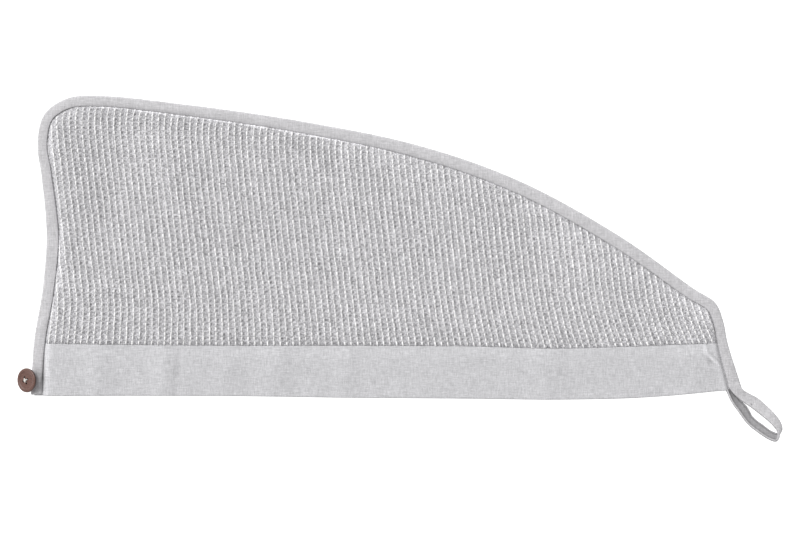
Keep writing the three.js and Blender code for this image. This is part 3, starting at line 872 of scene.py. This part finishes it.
def warpFloats(panel, grid, kept):
    perColumn, perRow = panel["perColumn"], panel["perRow"]
    heightOf, faceDown = panel["ridge"], panel["faceDown"]
    random = np.random.default_rng(floats["seed"])
    rows, columns = np.nonzero(kept)
    column = columns * perColumn + perColumn // 2
    middle, top, low = (grid[rows * perRow + step, column] for step in (perRow // 2, perRow, 0))
    inside, _ = insideLip(middle)
    good = inside > floats["inside"]
    middle, top, low = middle[good], top[good], low[good]
    count = len(middle)
    middle = middle + random.normal(0, floats["jitter"], (count, 2))
    along = top - low
    along /= np.linalg.norm(along, axis=1)[:, None]
    height = heightOf(middle)
    reach = floats["slopeReach"]
    rises = [heightOf(middle + step) - heightOf(middle - step) for step in np.eye(2) * reach]
    slopeX, slopeY = (rise / (2 * reach) for rise in rises)
    normal = np.column_stack([-slopeX, -slopeY, np.ones(count)])
    normal /= np.linalg.norm(normal, axis=1)[:, None]
    way = np.column_stack([along, along[:, 0] * slopeX + along[:, 1] * slopeY])
    way /= np.linalg.norm(way, axis=1)[:, None]
    across = np.cross(way, normal)
    size = np.clip(random.normal(1.0, floats["unlike"], (count, 3)), *floats["sizes"])
    centre = np.column_stack([middle, height])
    up = normal * (-floats["pressed"] if faceDown else 1)
    rings = []
    for at, wide, tall in floats["stations"]:
        for angle in np.linspace(0, math.pi, floats["arc"]):
            side = across * (math.cos(angle) * wide * floats["halfWidth"] * size[:, :1])
            rise = up * (math.sin(angle) * tall * floats["height"] * size[:, 1:2] - floats["sink"])
            rings.append(centre + way * (at * floats["halfLength"] * size[:, 2:3]) + side + rise)
    points = np.stack(rings, axis=1).reshape(-1, 3)
    stations, arc = len(floats["stations"]), floats["arc"]
    starts = (np.arange(count) * stations * arc)[:, None, None]
    sides = np.array(gridFaces(stations, arc, flip=not faceDown, around=True))
    ends = np.array([np.arange(arc), np.arange(stations * arc)[:-arc - 1:-1]])
    ends = ends[:, ::-1] if faceDown else ends
    faces = (sides[None] + starts).reshape(-1, 4).tolist() + (ends[None] + starts).reshape(-1, arc).tolist()
    tone = np.repeat(np.clip(random.normal(*floats["tone"], count), *floats["tones"]), stations * arc)
    return makePiece(panel["floats"], points, faces, materials["warp"], tone=tone)


def frontOuter(points, relief):
    return frontHeight(points) + relief


def frontInner(points):
    inside, _ = insideLip(points)
    thicker = (layers["wall"] - layers["seamWall"]) * smoothStep(inside, 0, layers["fullWall"])
    return frontHeight(points) - layers["seamWall"] - thicker


def frontRidge(points):
    return frontHeight(points) + waffle["ridge"]


# Heights of the lower layer, which lies flat with its cells pressed
backLook = {"clear": 0.95, "edgeRise": 0.1, "settle": (1.5, 5.0), "relief": 0.7, "edgeTop": 1.75, "top": 2.0}


def backOuter(points, relief):
    inside, _ = insideLip(points)
    rise = backLook["edgeRise"] * (1 - smoothStep(inside, *backLook["settle"]))
    return backLook["clear"] + rise - backLook["relief"] * relief


def backInner(points):
    inside, _ = insideLip(points)
    higher = (backLook["top"] - backLook["edgeTop"]) * smoothStep(inside, 0, layers["fullWall"])
    return backLook["edgeTop"] + higher


def backRidge(points):
    return np.full(len(points), backLook["clear"] - backLook["relief"] * waffle["ridge"])


# Both panels: mesh steps in a cell, heights of the faces and ridges, how far in the inner face stays fine
panels = {
    "front": {
        "name": "frontPanel", "floats": "frontWarpFloats", "node": "front_panel", "perColumn": 4, "perRow": 4,
        "outer": frontOuter, "inner": frontInner, "ridge": frontRidge, "faceDown": False, "fineWithin": 7,
    },
    "back": {
        "name": "backPanel", "floats": "backWarpFloats", "node": "back_panel", "perColumn": 4, "perRow": 2,
        "outer": backOuter, "inner": backInner, "ridge": backRidge, "faceDown": True, "fineWithin": -99,
    },
}


def panelAndFloats(panel):
    piece, grid, kept = wafflePanel(panel)
    yarn = warpFloats(panel, grid, kept)
    print(piece.name, len(piece.data.polygons), "floats", len(yarn.data.polygons))
    return piece, yarn


frontPanel, frontFloats = panelAndFloats(panels["front"])
backPanel, backFloats = panelAndFloats(panels["back"])

# Plain bands, each one cloth doubled at the opening
bands = {
    "endSteps": [3.0, 6.0, 8.6, 9.7, 10.3, *np.arange(11, 34, 0.85)],
    "middleSteps": 230,
    "upSteps": [0.0, 0.015, *np.linspace(0.035, 0.965, 41), 0.985, 1.0],
    "underSteps": [1.0, 0.75, 0.5, 0.25, 0.0],
    "sideOverlap": 0.4,
    "middleY": -85.0,
    "rounds": 4,
    "noseSteps": 6,
    # Painted shade on the nose at the opening
    "noseShade": 0.85,
    "sunk": 0.1,
    "sunkWithin": 1.5,
    "height": 43,
    "frontThickness": 1.7,
    "backThickness": 1.75,
    "backTop": 1.85,
}


def sideAt(y, left):
    edge, place, overlap = line["edge"], line["place"], bands["sideOverlap"]
    part = edge[place <= seam["wideHem"] + overlap if left else place >= seam["narrowHem"] - overlap]
    order = np.argsort(part[:, 1])
    return np.interp(y, part[order][:, 1], part[order][:, 0])


# Points in plan for each step from the border (0) to the opening (1); a few rounds settle x and y together
def bandPlan(steps):
    ends = np.array(bands["endSteps"])
    middle = np.linspace(0, 1, bands["middleSteps"])[1:-1]
    n = len(ends)
    rows = []
    for step in steps:
        y = np.full(n * 2 + len(middle), bands["middleY"])
        for _ in range(bands["rounds"]):
            left, right = sideAt(y, True), sideAt(y, False)
            between = (left[n:-n] + ends[-1]) * (1 - middle) + (right[n:-n] - ends[-1]) * middle
            x = np.concatenate([left[:n] + ends, between, right[-n:] - ends[::-1]])
            y = hemAt("border", x) * (1 - step) + hemAt("opening", x) * step
        rows.append(np.column_stack([x, y]))
    return rows


def bandPiece(name, node, topOf, thickness):
    rings = []
    for step, plan in zip(bands["upSteps"], bandPlan(bands["upSteps"])):
        sunk = bands["sunk"] * (1 - smoothStep(step * bands["height"], 0, bands["sunkWithin"]))
        rings.append(np.column_stack([plan, topOf(plan) - sunk]))
    edge, half = rings[-1], thickness / 2
    for k in range(1, bands["noseSteps"]):
        angle = math.pi * k / bands["noseSteps"]
        rings.append(edge - [0, half * math.sin(angle), half * (1 - math.cos(angle))])
    for plan in bandPlan(bands["underSteps"]):
        rings.append(np.column_stack([plan, topOf(plan) - thickness]))
    rings = np.stack(rings, axis=1)
    points, faces = sweep(rings)
    # Painted light and shade as on the panels, and painted shade on the nose, which faces away from the light
    tone = paintedClothShading(points[:, :2]).reshape(rings.shape[:2])
    nose = len(bands["upSteps"])
    tone[:, nose:nose + bands["noseSteps"]] *= bands["noseShade"]
    return makePiece(name, points, faces, materials["plain"], [node], tone=tone.ravel())


def backBandTop(plan):
    return np.full(len(plan), bands["backTop"])


frontBand = bandPiece("frontBand", "front_band", frontHeight, bands["frontThickness"])
backBand = bandPiece("backBand", "back_band", backBandTop, bands["backThickness"])
print("bands", len(frontBand.data.polygons), len(backBand.data.polygons))

# Binding: a strip folded over the seam. Rows of the lip: in from its edge, below the top, then the share of
# the swell that lifts it and of the fall that lowers it. Falls: a depth and the rolls that it comes in with.
# Rows of the lower lip: in from its edge, height.
binding = {
    "wall": 0.9,
    "height": 4.2,
    "lowerExtra": 2.4,
    "foldSteps": 8,
    "pucker": 0.16,
    "puckerLengths": (9, 22),
    "puckerShares": (0.6, 1),
    "swell": 0.3,
    "wander": 0.12,
    "wanderLengths": (14, 40),
    "wanderShares": (0.25, 0.35),
    "endFall": 0.7,
    "endReach": (9, 2),
    "lowerFrom": 3,
    "lowerLip": [(0, 0.45), (0.25, 0.1), (1, 0)],
    "lowerInside": [(0.8, 0.9), (0.2, 0.75)],
    "lip": [
        (2.2, 0, 0.8, 0),
        (1.1, 0, 0.5, 0.4),
        (0.5, 0, 0.15, 0.8),
        (0.15, 0.15, 0, 1),
        (0, 0.45, 0, 0.8),
        (0.15, 0.8, 0, 0),
        (0.7, 0.9, 0, 0),
    ],
    "lipFalls": [(0.3, 6, 11), (0.25, 10.6, 12)],
    # Painted shade and light as soft spots, rows as in folds: the button's shadow beside it, a painted paler
    # patch below it over its cast shadow, and dark lines along the crevice
    "paintedSpots": [
        (-307.0, -88.5, 2.6, 5.0, 0, -0.25),
        (-306.5, -100, 3.0, 6.0, 0, 0.2),
        (-303.2, -88, 13, 0.8, 86, -0.5),
        (-304.6, -97, 7.0, 0.9, 83, -0.4),
    ],
    "seed": 11,
}


# Smooth irregular height along a line, the same each run
def wave(along, seed, lengths, heights):
    random = np.random.default_rng(seed)
    total = np.zeros(len(along))
    for length, height in zip(lengths, heights):
        knots = np.arange(along.max() / length + 4)
        total += np.interp(along / length + 1, knots, random.normal(0, height, len(knots)))
    return total


def bindingPiece():
    half, wall, along = binding["height"] / 2, binding["wall"], line["along"]
    puckers = [binding["pucker"] * share for share in binding["puckerShares"]]
    pucker = wave(along, binding["seed"], binding["puckerLengths"], puckers)
    shift = wave(along, binding["seed"] + 1, binding["wanderLengths"], binding["wanderShares"])
    bend = [math.pi * (s / binding["foldSteps"] - 0.5) for s in range(binding["foldSteps"] + 1)]
    outside = [(half - half * math.cos(a), half + half * math.sin(a)) for a in bend]
    inside = [(half - (half - wall) * math.cos(a), half + (half - wall) * math.sin(a)) for a in bend[::-1]]
    farthest, nearest = along[-1] - np.array(binding["endReach"])
    rings = []
    for k in range(len(along)):
        width = line["width"][k] + binding["wander"] * shift[k]
        lower = width + binding["lowerExtra"]
        ending = smoothStep(along[k], farthest, nearest)
        fall = sum(depth * smoothStep(line["roll"][k], *rolls) for depth, *rolls in binding["lipFalls"])
        top = binding["height"] - binding["endFall"] * ending
        swell = (binding["swell"] + pucker[k]) * (1 - ending)
        shape = [(lower - a, z) for a, z in binding["lowerLip"]]
        shape += [(half + binding["lowerFrom"], 0), *outside]
        shape += [(half + 1.5, top + 0.4 * swell), (width * 0.45, top + swell)]
        shape += [(width - a, top - b + lift * swell - drop * fall) for a, b, lift, drop in binding["lip"]]
        shape += [*inside, (half + binding["lowerFrom"], wall)]
        shape += [(lower - a, z) for a, z in binding["lowerInside"]]
        rings.append([(*(line["edge"][k] + line["inward"][k] * d), z) for d, z in shape])
    points, faces = sweep(rings)
    # The strip's tone is the painted spots of shade and light
    tone, look = 1 + foldHeight(points[:, :2], binding["paintedSpots"]), materials["strip"]
    return makePiece("bindingStrip", points, faces, look, ["binding"], tone=tone)


bindingObject = bindingPiece()
print("binding", len(bindingObject.data.polygons))

# Loop: the binding's strip carried on, folded double, standing half on edge with its inner face up on the way
# back. Rows: x, y of its lower edge, how far its upper edge leans over, how much higher that is, the lower
# edge's height, wall
loop = {
    "rows": [
        (287.6, -94.5, -8.6, -0.6, 0.2, 3.9, 0.3),
        (289.6, -99.4, -9.8, -0.9, 0.3, 4.0, 0.7),
        (292.6, -103.4, -9.6, -2.0, 1.1, 3.3, 1.1),
        (297.8, -106.5, -8.5, -4.8, 2.8, 1.7, 1.3),
        (303.9, -109.7, -6.9, -7.1, 4.1, 0.8, 1.3),
        (312.4, -116.9, -4.8, -8.0, 4.6, 0.75, 1.3),
        (319.8, -124.5, -4.3, -7.2, 5.6, 0.75, 1.3),
        (324.2, -131.2, -3.9, -6.6, 6.4, 0.75, 1.3),
        (325.2, -136.9, -3.9, -6.3, 6.6, 0.75, 1.3),
        (322.6, -140.2, -3.7, -6.2, 6.8, 0.75, 1.3),
        (316.4, -138.4, -3.5, -6.2, 7.0, 0.75, 1.3),
        (309.5, -133.4, -4.3, -6.3, 7.0, 0.75, 1.3),
        (300.9, -126.6, -5.4, -5.4, 6.8, 0.75, 1.3),
        (295.6, -117.7, -7.8, -4.3, 6.2, 0.75, 1.3),
        (288.6, -110.4, -7.2, -2.2, 5.4, 0.75, 1.3),
        (284.0, -102.6, -6.9, 0.0, 4.3, 0.9, 1.2),
    ],
    "stepsPerRow": 8,
    "edge": 0.95,
    "notch": 0.6,
    "hollow": 0.92,
    "hollowAt": (0.35, 0.65),
    "faceIn": 1.2,
    "besideIn": 1.7,
    # Painted shade on the inner face, at the tip, beside its edges, in the crease and under the corner
    "innerShade": 0.68,
    "tipShade": 0.58,
    "besideEdgeShade": 0.62,
    "creaseShade": 0.6,
    "returnTone": 0.95,
    "tip": 9,
    "underCornerShade": 0.45,
    "cornerPlace": (13, 15),
    "stitch": [(297.6, -114.4, 5.6), (298.3, -114.9, 5.95), (299.0, -115.5, 5.7)],
    "stitchRadius": 0.3,
    "stitchTone": 0.45,
}


# Tone at a across and b out of the strip's middle: painted shade, darker on the inner face, which lies in
# shade, and darkest in the crease; the outer face a little darker on the way back
def loopTone(a, b, length, inner, shown):
    fromEdge = min(a, length - a)
    if b > 0 and fromEdge > loop["faceIn"]:
        return inner * (loop["besideEdgeShade"] if fromEdge < loop["besideIn"] else 1)
    return loop["creaseShade"] if b == 0 else 1 - (1 - loop["returnTone"]) * shown


def loopPiece():
    rows = np.array(loop["rows"], float)
    places = np.linspace(0, len(rows) - 1, (len(rows) - 1) * loop["stepsPerRow"] + 1)
    foot = curvePoints(rows[:, :2], places)
    lean = curvePoints(rows[:, 2:5], places)
    low, wall = (np.interp(places, np.arange(len(rows)), rows[:, k]) for k in (5, 6))
    tangent = np.gradient(foot, axis=0)
    rings, tones = [], []
    for k, place in enumerate(places):
        across = lean[k]
        length = np.linalg.norm(across)
        face = np.cross([*tangent[k], 0.0], across)
        face /= np.linalg.norm(face)
        unit = across / length
        start = np.array([*foot[k], low[k]])
        half = wall[k] / 2
        edge = min(loop["edge"], half * 1.5)
        hem = [(loop["notch"], 0), (0.05, edge * 0.3), (0, edge * 0.65)]
        hem += [(0.3, edge), (1.0, edge), (1.6, half)]
        side = hem + [(length * part, half * loop["hollow"]) for part in loop["hollowAt"]]
        side += [(length - a, b) for a, b in hem[::-1]]
        shape = [(a, -b) for a, b in side] + side[-2:0:-1]
        rings.append([start + unit * a + face * b for a, b in shape])
        atTip = math.exp(-((place - loop["tip"]) ** 2))
        inner = loop["innerShade"] + (loop["tipShade"] - loop["innerShade"]) * atTip
        inner *= 1 - loop["underCornerShade"] * smoothStep(place, *loop["cornerPlace"])
        shown = smoothStep(place, loop["tip"] - 1, loop["tip"])
        tones += [loopTone(a, b, length, inner, shown) for a, b in shape]
    tack, more = tube(loop["stitch"], loop["stitchRadius"], 6)
    points, faces = joined([sweep(rings), (tack, more)])
    tone = np.concatenate([tones, np.full(len(tack), loop["stitchTone"])])
    return makePiece("buttonLoop", points, faces, materials["strip"], ["loop"], tone=tone)


loopObject = loopPiece()
print("loop", len(loopObject.data.polygons))

# Button and its thread, in a frame tipped about Y
button = {
    "radius": 10.3,
    "thickness": 2.5,
    "dishRadius": 7.4,
    "dishDepth": 0.4,
    "flatRadius": 3.9,
    "holeRadius": 1.0,
    "holeReach": 2.6,
    "holeTurn": 22,
    "holeOffset": -0.9,
    "tilt": math.radians(32),
    "over": (-315.5, -94.8),
    "clear": 0.3,
    "lift": 9.3,
    "sides": 96,
    "holeSides": 24,
    # Painted shade on the side wall and inside the holes
    "wallShade": 0.42,
    "holeShade": 0.25,
}
buttonPlace = np.array([*button["over"], button["clear"] + button["lift"] * math.sin(button["tilt"])])

# Thread: strands of each bar over the face, the shank down to the binding, and the pad under the holes, which
# is painted dark as the shade seen through the holes
sewing = {
    "radius": 0.34,
    "strands": 3,
    "spread": 0.34,
    "lift": 0.12,
    "barLift": 0.5,
    "steps": 15,
    "steepness": 3.2,
    "dip": 0.35,
    "gather": 0.4,
    "reach": 0.70,
    "tone": 0.78,
    "headHeight": -0.6,
    "foot": (-312.6, -94.8, 2.1),
    "shankStrands": 5,
    "shankRadius": 0.4,
    "shankSpread": 0.55,
    "shankTaper": 0.4,
    "shankSteps": 8,
    "shankTurns": 7,
    "wrapReach": 0.95,
    "wrapRadius": 0.28,
    "wrapSteps": 90,
    "padTurns": 5,
    "padSteps": 110,
    "padFrom": 0.5,
    "padRadius": 3.8,
    "padPlace": (-1.1, -0.5),
    "padShade": 0.12,
}


def turned(points, angle):
    x = points[:, 0] * math.cos(angle) - points[:, 2] * math.sin(angle)
    z = points[:, 0] * math.sin(angle) + points[:, 2] * math.cos(angle)
    return np.column_stack([x, points[:, 1], z])


def tipped(points):
    return turned(np.asarray(points, float), button["tilt"]) + buttonPlace


def untipped(points):
    return turned(np.asarray(points, float) - buttonPlace, -button["tilt"])


def lathe(profile, sides):
    turn = np.arange(sides) * 2 * math.pi / sides
    rings = [np.column_stack([r * np.cos(turn), r * np.sin(turn), np.full(sides, z)]) for r, z in profile]
    points = np.vstack(rings)
    faces = gridFaces(len(profile), sides, around=True)
    faces += [list(range(sides))[::-1], [(len(profile) - 1) * sides + k for k in range(sides)]]
    return points, faces


def holePlaces():
    turn = np.radians(button["holeTurn"] + 90 * np.arange(4))
    return np.column_stack([np.cos(turn), np.sin(turn)]) * button["holeReach"] + [button["holeOffset"], 0]


def buttonProfile():
    r, t, dish = button["radius"], button["thickness"], button["dishRadius"]
    floor = t - button["dishDepth"]
    back = [(r - 1.6, 0), (r - 0.8, 0.12), (r - 0.25, 0.5), (r, 1.0)]
    rim = [(r, t - 0.75), (r - 0.15, t - 0.35), (r - 0.5, t - 0.08), (r - 1.0, t), (dish + 0.9, t)]
    face = [(dish + 0.4, t - 0.1), (dish, floor + 0.06), (dish - 0.5, floor)]
    return back + rim + face + [(button["flatRadius"], floor - 0.02)]


def buttonPiece():
    r, t, hole = button["radius"], button["thickness"], button["holeRadius"]
    points, faces = lathe(buttonProfile(), button["sides"])
    disc = makePiece("woodButton", points, faces, materials["button"], ["button"])
    punch, around = lathe([(hole, -1), (hole, t + 1)], button["holeSides"])
    points, faces = joined([(punch + [x, y, 0], around) for x, y in holePlaces()])
    mesh = bpy.data.meshes.new("holes")
    mesh.from_pydata((points * toMetres).tolist(), [], faces)
    cutter = linked("holes", mesh)
    cut = disc.modifiers.new("holes", "BOOLEAN")
    cut.operation = "DIFFERENCE"
    cut.object = cutter
    cut.solver = "EXACT"
    done = bpy.data.meshes.new_from_object(disc.evaluated_get(bpy.context.evaluated_depsgraph_get()))
    disc.modifiers.clear()
    disc.data = done
    bpy.data.objects.remove(cutter)
    placed = np.empty(len(done.vertices) * 3)
    done.vertices.foreach_get("co", placed)
    placed = placed.reshape(-1, 3) / toMetres
    reach = np.linalg.norm(placed[:, :2], axis=1)
    fromHole = np.min([np.linalg.norm(placed[:, :2] - place, axis=1) for place in holePlaces()], axis=0)
    # Painted shade: the side wall and the inside of the holes are darkened
    tone = np.where((reach > r - 0.05) & (placed[:, 2] < t - 0.6), button["wallShade"], 1.0)
    inHole = (fromHole < hole + 0.05) & (placed[:, 2] < t - button["dishDepth"] - 0.1)
    tone[inHole] = button["holeShade"]
    done.attributes["tone"].data.foreach_set("value", tone.astype(np.float32))
    done.vertices.foreach_set("co", (tipped(placed) * toMetres).ravel())
    done.polygons.foreach_set("use_smooth", [True] * len(done.polygons))
    done.set_sharp_from_angle(angle=math.radians(35))
    done.update()
    return disc


# Strands of two bars that cross over the face, each down through a pair of holes
def faceStrands(holes):
    face = button["thickness"] - button["dishDepth"]
    radius, strands = sewing["radius"], []
    depths = (-0.9, 0.2, face - 0.6)
    for bar in (0, 1):
        start, end = holes[bar], holes[bar + 2]
        way = (end - start) / np.linalg.norm(end - start)
        side = np.array([-way[1], way[0]])
        for strand in range(sewing["strands"]):
            off = (strand - 1) * sewing["spread"]
            lift = radius + sewing["lift"] + bar * sewing["barLift"] + (sewing["lift"] if strand == 1 else 0)
            path = []
            for t in np.linspace(0, 1, sewing["steps"]):
                arch = math.sin(math.pi * t)
                at = start + (end - start) * t + side * off * arch**0.5
                rise = lift * min(1, arch * sewing["steepness"]) - sewing["dip"] * (1 - arch) ** 4
                path.append((*at, face + rise))
            gathered = side * off * sewing["gather"]
            down = [(*(start + gathered), z) for z in depths]
            up = [(*(end + gathered), z) for z in depths[::-1]]
            strands.append(tube(down + path + up, radius))
    return strands


# Strands from the button's back to the binding, and the thread wound round them
def shankStrands(head, foot):
    strands, run = [], foot - head
    for strand in range(sewing["shankStrands"]):
        angle = 2 * math.pi * strand / sewing["shankStrands"]
        side = np.array([math.cos(angle), math.sin(angle), 0]) * sewing["shankSpread"]
        places = np.linspace(0, 1, sewing["shankSteps"])
        path = [head + side * (1 - sewing["shankTaper"] * t) + run * t for t in places]
        strands.append(tube(path, sewing["shankRadius"], 6))
    first = np.cross(run / np.linalg.norm(run), [0, 1, 0])
    first /= np.linalg.norm(first)
    second = np.cross(run / np.linalg.norm(run), first)
    wraps = []
    for t in np.linspace(0, 1, sewing["wrapSteps"]):
        angle = 2 * math.pi * sewing["shankTurns"] * t
        side = first * math.cos(angle) + second * math.sin(angle)
        wraps.append(head + run * t + side * sewing["wrapReach"])
    return strands + [tube(wraps, sewing["wrapRadius"], 6)]


def threadPiece():
    middle = np.array([button["holeOffset"], 0])
    holes = middle + (holePlaces() - middle) * sewing["reach"]
    head, foot = np.array([middle[0], 0, sewing["headHeight"]]), untipped([sewing["foot"]])[0]
    turn = np.linspace(0, 2 * math.pi * sewing["padTurns"], sewing["padSteps"])
    out = np.linspace(sewing["padFrom"], sewing["padRadius"], len(turn))
    shift, height = sewing["padPlace"]
    spiral = [middle[0] + shift + out * np.cos(turn), out * np.sin(turn), np.full(len(turn), height)]
    pad = tube(np.column_stack(spiral), sewing["shankRadius"], 6)
    points, faces = joined([*faceStrands(holes), *shankStrands(head, foot), pad])
    tone = np.full(len(points), sewing["tone"])
    # Painted shade: the pad is darkened where it shows through the holes
    tone[-len(pad[0]):] = sewing["padShade"]
    points, look = tipped(points), materials["thread"]
    return makePiece("buttonThread", points, faces, look, ["button_thread"], tone=tone)


buttonObject = buttonPiece()
threadObject = threadPiece()
print("button", len(buttonObject.data.polygons), "thread", len(threadObject.data.polygons))

# Floor, light and camera, in metres; the camera looks straight down at a plane through the towel
stage = {
    "floorSize": 6.0,
    "floorDrop": 0.0002,
    "floorColor": (0.5, 0.5, 0.5),
    "floorGlow": 1.0,
    "floorRoughness": 0.9,
    "worldStrength": 0.52,
    "sunStrength": 3.15,
    "sunTurn": (-0.55, -0.62, 0.0),
    "sunAngle": 50,
    "distance": 1.6,
    "wide": 0.680,
    "plane": 0.0033,
    "centre": (0.0004, 0.0013),
}


def makeStage():
    half, z = stage["floorSize"] / 2, -stage["floorDrop"]
    mesh = bpy.data.meshes.new("floor")
    corners = [(-half, -half, z), (half, -half, z), (half, half, z), (-half, half, z)]
    mesh.from_pydata(corners, [], [(0, 1, 2, 3)])
    floor = linked("floor", mesh)
    material, shader, *_ = newMaterial("paleFloor", {"roughness": stage["floorRoughness"], "sheen": 0.0})
    shader.inputs["Base Color"].default_value = (*stage["floorColor"], 1)
    shader.inputs["Emission Color"].default_value = (1, 1, 1, 1)
    shader.inputs["Emission Strength"].default_value = stage["floorGlow"]
    mesh.materials.append(material)
    floor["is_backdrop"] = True

    world = bpy.data.worlds.new("softWhite")
    bpy.context.scene.world = world
    world.use_nodes = True
    background = world.node_tree.nodes["Background"]
    background.inputs["Color"].default_value = (1, 1, 1, 1)
    background.inputs["Strength"].default_value = stage["worldStrength"]

    sun = bpy.data.lights.new("softKey", "SUN")
    sun.energy = stage["sunStrength"]
    sun.angle = math.radians(stage["sunAngle"])
    linked("softKey", sun).rotation_euler = stage["sunTurn"]

    lens = bpy.data.cameras.new("camera")
    lens.lens = 36 * stage["distance"] / stage["wide"]
    camera = linked("camera", lens)
    camera.location = (*stage["centre"], stage["plane"] + stage["distance"])
    bpy.context.scene.camera = camera
    bpy.context.scene.view_settings.view_transform = "Standard"
    print("stage ready")


makeStage()

sizes = {"cad": cadBounds, "visual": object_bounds()}
{name: [[float(v) for v in corner] for corner in box] for name, box in sizes.items()}
